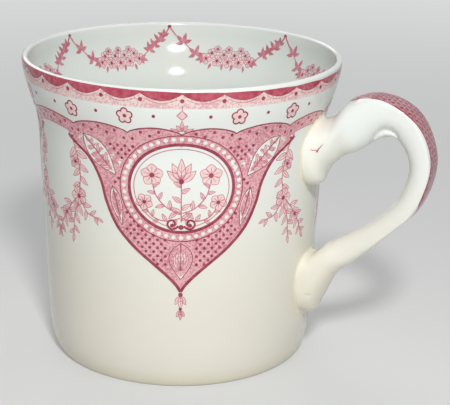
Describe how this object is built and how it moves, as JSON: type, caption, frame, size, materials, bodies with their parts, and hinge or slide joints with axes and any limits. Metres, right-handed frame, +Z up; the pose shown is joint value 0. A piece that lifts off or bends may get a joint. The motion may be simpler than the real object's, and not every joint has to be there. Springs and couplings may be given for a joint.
{
  "type": "espresso cup",
  "caption": "Small straight-sided glazed earthenware cup with a flared lip, rounded base, recessed foot ring and an applied loop handle with a flat printed back, held on by slip joints.",
  "frame": {"origin": "centre of the foot ring, on the plane that the cup stands on", "axes": "+Z up along the cup's axis, +X out through the middle of the handle, so the handle's plane is XZ"},
  "size_m": [0.0848, 0.064, 0.0615],
  "materials": {
    "glazed_earthenware": "glossy",
    "luting_slip": "glossy",
    "underglaze_print": "glossy"
  },
  "bodies": {
    "root": {"cup_body": "glazed_earthenware", "handle": "glazed_earthenware", "upper_slip_joint": "luting_slip", "lower_slip_joint": "luting_slip"}
  },
  "joints": []
}
